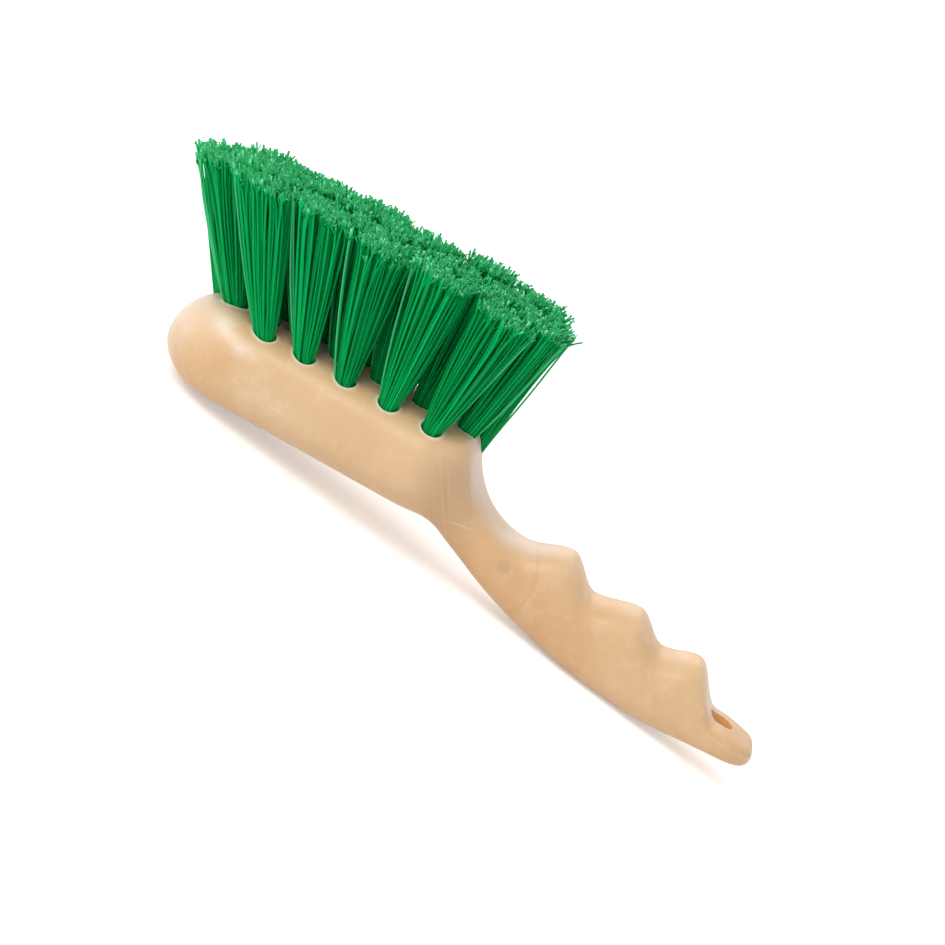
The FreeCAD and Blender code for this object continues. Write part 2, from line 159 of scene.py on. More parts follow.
# Rest pose: the design frame has X from the toe tip, Z from the belly, and the block level
def rest_pose():
    """Rotation and shift, in millimetres, from the design frame to the frame in which the brush lies.

    The hanging hole's axis is the design frame's Z. The belly arc touches the floor, which gives the height,
    and the hole's own station gives the place along X.
    """
    group = settings("brush_moulding")
    belly, station, end, inset = mm(group, "belly_radius", "belly_station", "handle_end", "hang_inset")
    axis_x, _, cos_tilt = HANG_HOLE["axis"]
    sin_tilt = -axis_x
    turn = np.array([[cos_tilt, 0.0, -sin_tilt], [0.0, 1.0, 0.0], [sin_tilt, 0.0, cos_tilt]])
    lift = belly - (sin_tilt * station + cos_tilt * belly)
    hole_x, _, hole_z = np.array(HANG_HOLE["pos_m"]) / MM
    level = (hole_z - lift - sin_tilt * (end - inset)) / cos_tilt
    along = hole_x - (cos_tilt * (end - inset) - sin_tilt * level)
    return turn, np.array([along, 0.0, lift])


def to_rest(points):
    """Design-frame millimetres to rest-frame metres, for an array of points."""
    turn, shift = rest_pose()
    return (points @ turn.T + shift) * MM


def to_design(points):
    """Rest-frame metres to design-frame millimetres, for an array of points."""
    turn, shift = rest_pose()
    return (points / MM - shift) @ turn


# Mesh helpers
def make_object(name, points, faces, smooth=True):
    """Mesh object in the rest frame from points in metres and lists of corner indices."""
    mesh = bpy.data.meshes.new(name)
    mesh.from_pydata(points.tolist(), [], faces)
    mesh.polygons.foreach_set("use_smooth", [smooth] * len(mesh.polygons))
    mesh.update()
    obj = bpy.data.objects.new(name, mesh)
    bpy.context.collection.objects.link(obj)
    return obj


def grid_faces(rows, columns):
    """Quads of a grid that closes on itself along its columns, as one index array."""
    row, column = np.meshgrid(np.arange(rows - 1), np.arange(columns), indexing="ij")
    after = (column + 1) % columns
    here, next_row = row * columns, (row + 1) * columns
    corners = (here + column, here + after, next_row + after, next_row + column)
    return np.stack(corners, axis=-1).reshape(-1, 4)


def closed_tube(rings):
    """Points and faces of rings of points, with a fan to a middle point at both ends."""
    rows, columns, _ = rings.shape
    points = np.concatenate([rings.reshape(-1, 3), rings[0].mean(0)[None], rings[-1].mean(0)[None]])
    column = np.arange(columns)
    after = (column + 1) % columns
    last = (rows - 1) * columns
    start_fan = np.stack([after, column, np.full(columns, rows * columns)], axis=-1)
    end_fan = np.stack([last + column, last + after, np.full(columns, rows * columns + 1)], axis=-1)
    quads = grid_faces(rows, columns)
    first, second, third, _ = np.moveaxis(points[quads] - points.mean(0), 1, 0)
    inside_out = np.einsum("ij,ij->i", np.cross(second - first, third - first), first).sum() < 0
    faces = quads.tolist() + start_fan.tolist() + end_fan.tolist()
    return points, [face[::-1] for face in faces] if inside_out else faces


def set_values(mesh, name, values):
    """Store one number per point as a mesh attribute."""
    attribute = mesh.attributes.new(name, "FLOAT", "POINT")
    attribute.data.foreach_set("value", np.asarray(values, dtype=np.float32))


def smooth_step(x, low, high):
    """Zero before a stretch, one after it, and an S between."""
    share = np.clip((x - low) / (high - low), 0.0, 1.0)
    return share * share * (3.0 - 2.0 * share)


def fade(x, low, high):
    """One before a stretch, zero after it, and an S between."""
    return 1.0 - smooth_step(x, low, high)


def smooth_max(a, b, reach):
    """The larger of two curves, with the corner between them rounded over a reach."""
    share = np.clip(0.5 + 0.5 * (a - b) / reach, 0.0, 1.0)
    return b * (1.0 - share) + a * share + reach * share * (1.0 - share)


def hump(x, middle, width):
    """One at the middle, falling off like a bell on both sides."""
    return np.exp(-(((x - middle) / width) ** 2))


def quarter(distance, radius):
    """How far a quarter round has fallen at a distance past its start."""
    inside = np.clip(distance, 0.0, radius)
    return radius - np.sqrt(np.maximum(radius**2 - inside**2, 0.0))


# Moulding: block and handle in one skin
INDEX_HOLLOW = (125.0, 6.0, 26.6)  # station, height over the back and radius, in millimetres
GRIP_TURNS = (
    # station and height over the back, in millimetres: hollows and crests in turn, then the hanging tab
    (125.0, 6.0),
    (139.3, 10.1),
    (151.3, 1.5),
    (165.6, 4.4),
    (177.1, -3.0),
    (188.4, -0.1),
    (201.9, -14.0),
    (216.5, -15.8),
)
CIRCLE_SHARE = 0.9  # share of the index hollow's radius that is used on the heel's side
# Lengths in millimetres, stations from the toe tip
SIDE_END = 20.0  # the straight sides end so far before the heel
NECK_START, NECK_END = -24.0, 7.0  # the S into the handle, from the heel
PALM_INSET, PALM_SWELL, PALM_STATION, PALM_WIDTH = 0.5, 0.7, 163.0, 26.0
END_CORNER, END_CORNER_SHARE = 10.5, 0.8  # corners of the handle's end, seen from above
END_EDGE, END_EDGE_BELOW = 3.2, 0.75  # edges of the handle's end, seen from the side
TOE_RUN = 17.0  # length of the toe's rounding at the back
BELLY_BLEND = 3.0
TAB_RISE, TAB_STATION, TAB_WIDTH = 0.9, 201.0, 9.0  # the belly is a little hollow under the tab
NOSE_STRETCH, GRIP_STRETCH, TAB_STRETCH = (0.0, 26.0), (92.0, 126.0), (188.0, 203.0)  # sections change there
# Powers of the sections: toe, then what the block, the tab's top, the grip's top and its belly add
TOE_POWER, BLOCK_POWER, TAB_POWER, GRIP_TOP_POWER, GRIP_BELLY_POWER = 2.2, 1.0, 2.4, -0.85, 0.2
END_GAP = 0.001  # the first and the last ring stay so far from the ends
FINE_STATIONS = 6000
SEAM_HEIGHT = 4.4  # of the parting line over the back, on the block
SEAM_FALLS = ((12.4, 113.0, 158.0), (10.6, 150.0, 222.0))  # how far it falls, from and to which station


def grip_top(x):
    """Height of the grip over the back: a circle down the heel, then an S from each turn to the next.

    The circle ends where CIRCLE_SHARE of its radius is used and goes on as a straight line that touches it.
    """
    station, floor, radius = INDEX_HOLLOW
    held = np.maximum(x, station - CIRCLE_SHARE * radius)
    circle = floor + radius - np.sqrt(np.maximum(radius**2 - (held - station) ** 2, 0.0))
    height = circle + CIRCLE_SHARE / math.sqrt(1.0 - CIRCLE_SHARE**2) * (held - x)
    for (from_x, from_z), (to_x, to_z) in zip(GRIP_TURNS, GRIP_TURNS[1:]):
        bend = from_z + (to_z - from_z) * smooth_step(x, from_x, to_x)
        height = np.where(x > from_x, bend, height)
    return height


def moulding_outline(x):
    """Half width, top and bottom of the moulding at the given stations, in the design frame.

    Seen from above: toe circle, straight taper, an S into the handle, and round end corners. Seen from the
    side: block and grip are one line each, joined by rounded corners.
    """
    group = settings("brush_moulding")
    length, width, height = mm(group, "block_length", "block_width", "block_height")
    toe, face_radius, back_radius = mm(group, "toe_radius", "face_radius", "back_radius")
    heel_reach, handle, drop, end = mm(group, "heel_reach", "handle_width", "handle_drop", "handle_end")
    belly, station = mm(group, "belly_radius", "belly_station")

    taper = toe + (width / 2 - toe) * np.clip((x - toe) / (length - toe - SIDE_END), 0.0, 1.0)
    half = np.where(x < toe, np.sqrt(np.maximum(toe**2 - (toe - x) ** 2, 0.0)), taper)
    palm = handle / 2 - PALM_INSET + PALM_SWELL * hump(x, PALM_STATION, PALM_WIDTH)
    half = half + (palm - half) * smooth_step(x, length + NECK_START, length + NECK_END)
    half = half - quarter(x - (end - END_CORNER), END_CORNER) * END_CORNER_SHARE

    block_top = drop + height - quarter(face_radius - x, face_radius)
    top = -smooth_max(-block_top, -drop - grip_top(x), heel_reach)
    block_bottom = drop + quarter((TOE_RUN - x) * back_radius / TOE_RUN, back_radius)
    belly_line = belly - np.sqrt(np.maximum(belly**2 - (x - station) ** 2, 0.0))
    bottom = -smooth_max(-block_bottom, -belly_line, BELLY_BLEND)
    bottom = bottom + TAB_RISE * hump(x, TAB_STATION, TAB_WIDTH)

    top = top - quarter(x - (end - END_EDGE), END_EDGE)
    bottom = bottom + quarter(x - (end - END_EDGE), END_EDGE) * END_EDGE_BELOW
    return half, top, bottom


def station_spread(count):
    """Stations along the moulding, closer together where its outline turns."""
    end = settings("brush_moulding").handle_end / MM
    turn = np.linspace(0.0, math.pi, FINE_STATIONS)
    fine = END_GAP + (end - 2.0 * END_GAP) * (0.5 - 0.5 * np.cos(turn))
    half, top, bottom = moulding_outline(fine)
    steps = np.sqrt(np.diff(fine) ** 2 + np.diff(top) ** 2 + np.diff(bottom) ** 2 + np.diff(half) ** 2)
    travelled = np.concatenate([[0.0], np.cumsum(steps)])
    return np.interp(np.linspace(0.0, travelled[-1], count), travelled, fine)


def seam_level(x):
    """Height of the mould's parting line at a station: low on the block, about half way up the grip."""
    drop = settings("brush_moulding").handle_drop / MM
    falls = sum(fall * smooth_step(x, start, end) for fall, start, end in SEAM_FALLS)
    return drop + SEAM_HEIGHT - falls


def moulding_skin(stations=430, around=184):
    """Rings of a squircle |y/w|^n + |z/h|^n = 1; width, height and power change along the moulding."""
    x = station_spread(stations)
    half, top, bottom = moulding_outline(x)
    angle = np.linspace(0.0, 2.0 * math.pi, around, endpoint=False)
    upper = np.sin(angle)[None, :] > 0
    blend = smooth_step(x, *GRIP_STRETCH)[:, None]
    nose = smooth_step(x, *NOSE_STRETCH)[:, None]
    tab = smooth_step(x, *TAB_STRETCH)[:, None]
    grip = np.where(upper, TAB_POWER * tab + GRIP_TOP_POWER * blend, GRIP_BELLY_POWER * blend)
    power = TOE_POWER + BLOCK_POWER * nose + grip
    reach = (np.abs(np.cos(angle)) ** power + np.abs(np.sin(angle)) ** power) ** (-1.0 / power)
    y = -half[:, None] * reach * np.cos(angle)
    z = ((top + bottom) / 2)[:, None] + ((top - bottom) / 2)[:, None] * reach * np.sin(angle)
    return np.stack([np.broadcast_to(x[:, None], y.shape), y, z], axis=-1)


# Holes, in millimetres
ROOT_BAND, TIP_BAND = 4.5, 1.5  # the points so near a bundle's ends give its axis
MOUTH_REACH = 3.0  # along a hole's axis, what counts as its mouth
# Drills: steps from the mouth or from a rim, and what the radius gains there
TUFT_LIP = ((-1.2, 0.0), (-0.55, 0.03), (-0.1, 0.12), (0.5, 0.35), (6.0, 0.6))
HANG_RIM_BELOW = ((-6.0, 1.0), (-0.2, 0.4), (0.7, 0.1), (1.8, 0.0))
HANG_RIM_ABOVE = ((-1.8, 0.0), (-0.6, 0.1), (0.4, 0.3), (8.0, 0.8))
TUFT_DRILL_SIDES, HANG_DRILL_SIDES = 28, 56


def turned_tool(axis_points, radii, around):
    """Rings of given radii about points on a straight axis, for a cutter."""
    direction = axis_points[-1] - axis_points[0]
    direction = direction / np.linalg.norm(direction)
    side = np.cross(direction, [0.0, 1.0, 0.0])
    side = side / np.linalg.norm(side)
    other = np.cross(direction, side)
    angle = np.linspace(0.0, 2.0 * math.pi, around, endpoint=False)[None, :, None]
    spokes = np.cos(angle) * side + np.sin(angle) * other
    return axis_points[:, None, :] + np.asarray(radii)[:, None, None] * spokes


def tuft_axes():
    """Mouth, direction and tip of every tuft in the design frame, read from the CAD bundles.

    The long direction of a bundle's points gives its axis, its lowest points the root, its highest the tip.
    """
    depth = settings("brush_moulding").hole_depth / MM
    axes = {}
    for name in TUFT_NODES:
        mesh = frame["nodes"][name].data
        flat = np.empty(len(mesh.vertices) * 3, dtype=np.float32)
        mesh.vertices.foreach_get("co", flat)
        points = to_design(np.unique(flat.reshape(-1, 3).astype(float).round(6), axis=0))
        low = points[:, 2].min()
        root = points[points[:, 2] < low + ROOT_BAND]
        tip = points[points[:, 2] > points[:, 2].max() - TIP_BAND]
        base, end = root.mean(0), tip.mean(0)
        direction = (end - base) / np.linalg.norm(end - base)
        shift = (points - base) @ direction
        floor = base + direction * shift.min()
        axes[name] = (floor + direction * depth, direction, end)
    return axes


def mouth_distance(points):
    """Distance of every point from the axis of the nearest tuft hole, counted as more far from its mouth."""
    axes = tuft_axes().values()
    mouths = np.array([mouth for mouth, _, _ in axes])
    directions = np.array([direction for _, direction, _ in axes])
    away = points[:, None, :] - mouths[None]
    depth = np.einsum("ijk,jk->ij", away, directions)
    aside = np.linalg.norm(away - depth[..., None] * directions, axis=-1)
    return (aside + np.maximum(np.abs(depth) - MOUTH_REACH, 0.0)).min(axis=1)


def carve(obj, cutter):
    """Cut the cutter out of the object and keep the result as plain mesh data."""
    cut = obj.modifiers.new("carve", "BOOLEAN")
    cut.operation = "DIFFERENCE"
    cut.solver = "EXACT"
    cut.object = cutter
    graph = bpy.context.evaluated_depsgraph_get()
    carved = bpy.data.meshes.new_from_object(obj.evaluated_get(graph))
    obj.modifiers.clear()
    old = obj.data
    obj.data = carved
    bpy.data.meshes.remove(old)
    tool = cutter.data
    bpy.data.objects.remove(cutter)
    bpy.data.meshes.remove(tool)


def hole_cutters():
    """One mesh of all drills: the tuft holes with a soft lip, and the hanging hole with rounded rims."""
    group = settings("brush_moulding")
    radius, depth = mm(group, "hole_radius", "hole_depth")
    end, inset = mm(group, "handle_end", "hang_inset")
    steps, gain = np.array([(-depth, 0.0), *TUFT_LIP]).T
    tools = []
    for mouth, direction, _ in tuft_axes().values():
        tools.append(turned_tool(mouth + steps[:, None] * direction, radius + gain, TUFT_DRILL_SIDES))
    x = end - inset
    _, top, bottom = (float(values[0]) for values in moulding_outline(np.array([x])))
    steps, gain = np.array([*HANG_RIM_BELOW, *HANG_RIM_ABOVE]).T
    heights = steps + np.repeat([bottom, top], [len(HANG_RIM_BELOW), len(HANG_RIM_ABOVE)])
    centre = np.stack([np.full_like(heights, x), np.zeros_like(heights), heights], axis=-1)
    tools.append(turned_tool(centre, HANG_HOLE["dims"]["r_mm"] + gain, HANG_DRILL_SIDES))
    points, faces, first = [], [], 0
    for rings in tools:
        tool_points, tool_faces = closed_tube(rings)
        points.append(tool_points)
        faces += [[corner + first for corner in face] for face in tool_faces]
        first += len(tool_points)
    return make_object("drills", to_rest(np.concatenate(points)), faces)


# Filaments
FIELD_ENDS = (-9.0, 98.5)  # stations past which the tips are crowded, in millimetres
WORN_ENDS, TIP_WEAR, TIP_WEAR_HEEL = (2.0, 95.0), 0.011, 1.1  # the field is worn down past these stations
ROOT_SHARE = -0.2  # a filament starts this share of its free length inside the hole
FAN_POWER = 0.86
CURL_START = 0.72  # share of the free length
# Scatter: shares of the bundle's and the tip oval's size, then millimetres
DISC_JITTER, TIP_JITTER, STRAY_ASIDE = 0.045, 0.09, 0.4
TUFT_LEVEL, TUFT_LEVEL_SPREAD, TIP_SPREAD, SHORT_TIPS = 0.4, 0.5, 0.55, 0.455
BOW, CURL = 0.35, 0.75
THICKNESS_SHARES, FILAMENT_SIDES, STRAY_TONE = (0.86, 1.1), 5, 1.5
# Split ends: where they leave the last piece of a filament and count as along it, then sizes in millimetres
FRAY_START, FRAY_WAY, FRAY_TONES, FRAY_SIDES = 0.45, 0.93, (0.3, 1.0), 3
FRAY_LENGTHS, FRAY_RADII = (1.6, 3.8), (0.2, 0.36)
FRAY_LEAN, FRAY_CURL = 1.15 * np.array([1.0, 1.0, 0.25]), 0.45 * np.array([1.0, 1.0, 0.4])
TUBE_TURN, TIP_SLANT = 1.2, 0.35  # a tube's largest turn in radians, its cut's slant in radii


def scatter_disc(count, rng):
    """Even scatter over the unit disc: sunflower spiral with a little jitter."""
    index = np.arange(count)
    radius = np.sqrt((index + 0.5) / count)
    angle = index * math.pi * (3.0 - math.sqrt(5.0))
    spread = np.stack([radius * np.cos(angle), radius * np.sin(angle)], axis=-1)
    return spread + rng.normal(0.0, DISC_JITTER, (count, 2))


def trim_plane(axes):
    """Level of the trimmed field at a station: a parabola fitted to the CAD tips."""
    tips = np.array([tip for _, _, tip in axes.values()])
    return np.poly1d(np.polyfit(tips[:, 0], tips[:, 2], 2))


def crowd(x, low, high, room=10.0):
    """Stations pressed together past both ends of a stretch: none gets further out than the room there."""
    inside = np.clip(x, low, high)
    past = np.abs(x - inside)
    return inside + np.sign(x - inside) * room * (1.0 - np.exp(-past / room))


def tuft_paths(mouth, direction, tip, level, rng, steps=9):
    """Centre lines of a tuft's filaments: bundles that open like a fan and wander a little at the tips.

    A filament goes from its place in the bundle to its place in the tip oval with the share s^FAN_POWER,
    plus a bow of sin(pi s) and a curl that starts at CURL_START. It starts inside the hole, at ROOT_SHARE,
    and ends at the trimmed level, give or take.
    """
    group = settings("brush_tufts")
    bundle, along, across = mm(group, "bundle_radius", "spread_along", "spread_across")
    count = group.filaments
    disc = scatter_disc(count, rng)
    bearing = np.arctan2(disc[:, 1], disc[:, 0])
    lock = 0.5 + 0.5 * np.cos(group.locks * bearing)
    disc = disc * (group.groove + (1.0 - group.groove) * lock)[:, None]
    end = disc + rng.normal(0.0, TIP_JITTER, (count, 2))
    outward = np.sign(tip[0] - mouth[0])
    stray = slice(count - group.strays, count)
    sideward = rng.uniform(-STRAY_ASIDE, STRAY_ASIDE, group.strays)
    disc[stray] = end[stray] = np.stack([np.full(group.strays, outward), sideward], axis=-1)
    side = np.cross([0.0, 1.0, 0.0], direction)
    side = side / np.linalg.norm(side)
    cross = np.cross(direction, side)
    base = mouth + bundle * (disc[:, :1] * side + disc[:, 1:] * cross)
    aim = tip + along * end[:, :1] * side + across * end[:, 1:] * cross
    aim[:, 0] = crowd(aim[:, 0], *FIELD_ENDS)
    aim[stray, 0] += outward * group.stray_reach / MM
    run = aim - base
    past_toe = np.maximum(WORN_ENDS[0] - aim[:, 0], 0.0)
    past_heel = np.maximum(aim[:, 0] - WORN_ENDS[1], 0.0)
    worn = TIP_WEAR * (past_toe**2 + TIP_WEAR_HEEL * past_heel**2)
    wanted = level(aim[:, 0]) - worn + rng.normal(TUFT_LEVEL, TUFT_LEVEL_SPREAD)
    wanted = wanted + rng.normal(0.0, TIP_SPREAD, count) - rng.exponential(SHORT_TIPS, count)
    run = run * ((wanted - base[:, 2]) / run[:, 2])[:, None]
    share = np.linspace(ROOT_SHARE, 1.0, steps)[None, :, None]
    open_share = np.sign(share) * np.abs(share) ** FAN_POWER
    lengthwise = direction * (run @ direction)[:, None]
    sideways = run - lengthwise
    path = base[:, None] + lengthwise[:, None] * share + sideways[:, None] * open_share
    bow = rng.normal(0.0, BOW, (count, 1, 2)) * np.sin(math.pi * np.clip(share, 0.0, 1.0))
    late = np.clip(share - CURL_START, 0.0, 1.0) / (1.0 - CURL_START)
    curl = rng.normal(0.0, CURL, (count, 1, 2)) * late**2
    wander = bow + curl
    return path + wander[..., :1] * side + wander[..., 1:] * cross


def frayed_ends(paths, rng, strands=2, steps=4):
    """Centre lines of the split ends: short strands that leave a filament near its tip and curl away."""
    last = paths[:, -1] - paths[:, -2]
    start = np.repeat(paths[:, -2] + FRAY_START * last, strands, axis=0)
    run = np.repeat(last, strands, axis=0)
    run = run / np.linalg.norm(run, axis=-1, keepdims=True)
    share = np.linspace(0.0, 1.0, steps)[None, :, None]
    length = rng.uniform(*FRAY_LENGTHS, (len(run), 1, 1))
    lean = FRAY_LEAN * rng.normal(0.0, 1.0, (len(run), 1, 3))
    curl = FRAY_CURL * rng.normal(0.0, 1.0, (len(run), 1, 3))
    strand = run[:, None] * length * share + lean * share**2 + curl * np.sin(math.pi * share)
    return start[:, None] + strand


def filament_tubes(paths, radius, sides, rng):
    """Rings of tubes about the paths, with a slanted cut at the tip; radius differs per filament."""
    count, steps, _ = paths.shape
    tangent = np.gradient(paths, axis=1)
    tangent = tangent / np.linalg.norm(tangent, axis=-1, keepdims=True)
    side = np.cross(tangent, [0.0, 1.0, 0.0])
    side = side / np.linalg.norm(side, axis=-1, keepdims=True)
    other = np.cross(tangent, side)
    angle = np.linspace(0.0, 2.0 * math.pi, sides, endpoint=False) + rng.uniform(0.0, TUBE_TURN, (count, 1))
    spokes = np.cos(angle)[:, None, :, None] * side[:, :, None]
    spokes = spokes + np.sin(angle)[:, None, :, None] * other[:, :, None]
    rings = paths[:, :, None] + radius[:, None, None, None] * spokes
    slant = rng.uniform(0.0, 2.0 * math.pi, (count, 1)) - angle
    rings[:, -1] += tangent[:, -1][:, None] * (TIP_SLANT * radius[:, None] * np.cos(slant))[..., None]
    return rings


def tuft_mesh(name, groups):
    """One mesh of groups of tubes, closed at both ends; stores each tube's tone and the way along it."""
    points, faces, ways, tones, first = [], [], [], [], 0
    for rings, tone, start in groups:
        count, steps, sides, _ = rings.shape
        offsets = first + (np.arange(count) * steps * sides)[:, None, None]
        faces += (grid_faces(steps, sides)[None] + offsets).reshape(-1, 4).tolist()
        faces += (np.arange(sides)[None] + (steps - 1) * sides + offsets[:, 0]).tolist()
        faces += (np.arange(sides)[None, ::-1] + offsets[:, 0]).tolist()
        points.append(rings.reshape(-1, 3))
        way = np.linspace(start, 1.0, steps)[None, :, None]
        ways.append(np.broadcast_to(way, rings.shape[:3]).reshape(-1))
        tones.append(np.repeat(tone, steps * sides))
        first += count * steps * sides
    obj = make_object(name, to_rest(np.concatenate(points)), faces)
    set_values(obj.data, "way", np.concatenate(ways))
    set_values(obj.data, "tone", np.concatenate(tones))
    return obj


# Materials
TINTS = {
    "flow": linear(196, 150, 104),
    "spot": linear(170, 142, 110),
    "shade": linear(190, 152, 116),
    # painted highlight along the neck's top edge and round the toe
    "rim_light": linear(232, 212, 200),
    "gate": linear(226, 164, 84),
    # painted violet shade on the face beside the tufts
    "between": linear(176, 152, 168),
    # painted highlight: soft glints on the toe's shoulder
    "glint": linear(250, 238, 224),
    # painted highlight on the lip of each tuft hole
    "lip": linear(248, 236, 218),
    # painted glow: the hanging hole's bore coloured as if lit through the plastic
    "bore_glow": linear(226, 176, 122),
    "bright_green": linear(0, 188, 100),
    "dark_steel": linear(150, 148, 142),
    "light_steel": linear(196, 192, 184),
}
COLOUR_A, COLOUR_B, COLOUR_RESULT = 6, 7, 2  # colour sockets of a Mix node


class Shading:
    """Short ways to add and link the nodes of one node tree."""

    def __init__(self, tree):
        self.nodes, self.links = tree.nodes, tree.links

    def add(self, kind, **values):
        node = self.nodes.new(kind)
        for key, value in values.items():
            setattr(node, key, value)
        return node

    def place(self):
        return self.add("ShaderNodeTexCoord").outputs["Object"]

    def attribute(self, name):
        return self.add("ShaderNodeAttribute", attribute_name=name).outputs["Fac"]

    def noise(self, coordinates, scale, detail=3.0, roughness=0.5):
        node = self.add("ShaderNodeTexNoise")
        node.inputs["Scale"].default_value = scale
        node.inputs["Detail"].default_value = detail
        node.inputs["Roughness"].default_value = roughness
        self.links.new(coordinates, node.inputs["Vector"])
        return node.outputs["Fac"]

    def remap(self, value, low, high, to_low=0.0, to_high=1.0):
        node = self.add("ShaderNodeMapRange", interpolation_type="SMOOTHSTEP")
        for key, number in (("From Min", low), ("From Max", high), ("To Min", to_low), ("To Max", to_high)):
            node.inputs[key].default_value = number
        self.links.new(value, node.inputs["Value"])
        return node.outputs["Result"]

    def maths(self, operation, first, second=None):
        node = self.add("ShaderNodeMath", operation=operation)
        for socket, value in zip(node.inputs, (first, second)):
            if isinstance(value, (int, float)):
                socket.default_value = value
            elif value is not None:
                self.links.new(value, socket)
        return node.outputs["Value"]

    def times(self, first, second):
        return self.maths("MULTIPLY", first, second)

    def mix(self, share, first, second):
        node = self.add("ShaderNodeMix", data_type="RGBA")
        self.links.new(share, node.inputs["Factor"])
        for key, value in ((COLOUR_A, first), (COLOUR_B, second)):
            if isinstance(value, tuple):
                node.inputs[key].default_value = (*value, 1.0)
            else:
                self.links.new(value, node.inputs[key])
        return node.outputs[COLOUR_RESULT]

    def bump(self, shader, height, strength, millimetres):
        node = self.add("ShaderNodeBump")
        node.inputs["Strength"].default_value = strength
        node.inputs["Distance"].default_value = millimetres * MM
        self.links.new(height, node.inputs["Height"])
        self.links.new(node.outputs["Normal"], shader.inputs["Normal"])

    def seen_directly(self):
        """One for rays from the camera, also by way of a mirror or glass, zero for light on surfaces."""
        path = self.add("ShaderNodeLightPath").outputs
        seen = self.maths("MAXIMUM", path["Is Camera Ray"], path["Is Glossy Ray"])
        return self.maths("MAXIMUM", seen, path["Is Transmission Ray"])


def new_material(name):
    material = bpy.data.materials.new(name)
    material.use_nodes = True
    return material, Shading(material.node_tree), material.node_tree.nodes["Principled BSDF"]


def tan_plastic():
    """Foamed tan plastic: clouded, pale where worn, amber flow in the neck, a parting line, soft gloss,
    painted highlights, painted shade and a painted glow in the hanging hole.
    """
    group = settings("brush_moulding")
    tan, pale, amber = tuple(group.tan), tuple(group.pale), tuple(group.amber)
    material, shading, shader = new_material("tan_plastic")
    place = shading.place()
    cloud = shading.noise(place, 26.0, 4.0, 0.55)
    swirl = shading.noise(place, 70.0, 5.0, 0.6)
    mottle = shading.noise(place, 150.0, 6.0, 0.7)
    grain = shading.noise(place, 900.0, 2.0)
    colour = shading.mix(shading.remap(cloud, 0.38, 0.72, 0.0, 0.8), tan, amber)
    colour = shading.mix(shading.remap(mottle, 0.45, 0.75, 0.0, 0.28), colour, pale)
    # pale where worn, and a painted highlight on the crests, the toe and the top of the heel
    colour = shading.mix(shading.remap(shading.attribute("worn"), 0.05, 1.0, 0.0, 0.8), colour, pale)
    neck = shading.times(shading.attribute("neck"), shading.remap(swirl, 0.3, 0.75, 0.1, 0.7))
    colour = shading.mix(neck, colour, amber)

    line = shading.remap(shading.maths("ABSOLUTE", shading.attribute("seam")), 0.05, 0.5, 1.0, 0.0)
    line = shading.times(line, shading.attribute("seam_strength"))
    colour = shading.mix(shading.times(line, 0.5), colour, pale)
    ring = shading.remap(shading.maths("ABSOLUTE", shading.attribute("flow")), 0.1, 0.9, 1.0, 0.0)
    ring = shading.times(ring, shading.attribute("flow_strength"))
    colour = shading.mix(shading.times(ring, 0.22), colour, TINTS["flow"])
    colour = shading.mix(shading.times(shading.attribute("spot"), 0.32), colour, TINTS["spot"])

    stretch = shading.add("ShaderNodeMapping")
    stretch.inputs["Scale"].default_value = (0.35, 1.0, 1.6)
    shading.links.new(place, stretch.inputs["Vector"])
    streaks = shading.noise(stretch.outputs["Vector"], 520.0, 6.0, 0.75)
    rubbed = shading.times(shading.attribute("scuff"), shading.remap(streaks, 0.4, 0.7, 0.1, 0.6))
    rubbed = shading.maths("MAXIMUM", rubbed, shading.remap(streaks, 0.61, 0.75, 0.0, 0.4))
    colour = shading.mix(shading.times(rubbed, 0.7), colour, pale)

    drawn = shading.add("ShaderNodeTexNoise", noise_dimensions="1D")
    drawn.inputs["Scale"].default_value = 1.1
    shading.links.new(shading.attribute("across"), drawn.inputs["W"])
    patchy = shading.remap(swirl, 0.3, 0.7, 0.2, 0.8)
    layers = {
        "shade": shading.remap(drawn.outputs["Fac"], 0.3, 0.7, 0.3, 0.6),
        # painted rim highlight along the neck's top edge and at the toe, in patches
        "rim_light": patchy,
        "gate": 0.7,
        # painted shade between the tufts
        "between": 0.35,
        # painted highlight: soft glints on the toe's shoulder, in patches
        "glint": patchy,
        # painted highlight round the tuft holes' lips
        "lip": 0.6,
    }
    for name, share in layers.items():
        colour = shading.mix(shading.times(shading.attribute(name), share), colour, TINTS[name])
    # painted glow in the hanging hole's bore
    colour = shading.mix(shading.attribute("bore_glow"), colour, TINTS["bore_glow"])

    shading.links.new(colour, shader.inputs["Base Color"])
    shading.links.new(shading.remap(swirl, 0.25, 0.75, 0.34, 0.5), shader.inputs["Roughness"])
    shader.inputs["Coat Weight"].default_value = 0.3
    shader.inputs["Coat Roughness"].default_value = 0.36
    shader.inputs["Specular IOR Level"].default_value = 0.45
    height = shading.maths("ADD", shading.noise(place, 45.0, 2.0), shading.times(grain, 0.05))
    height = shading.maths("ADD", height, shading.times(line, 0.35))
    shading.bump(shader, height, 0.35, 0.6)
    return material


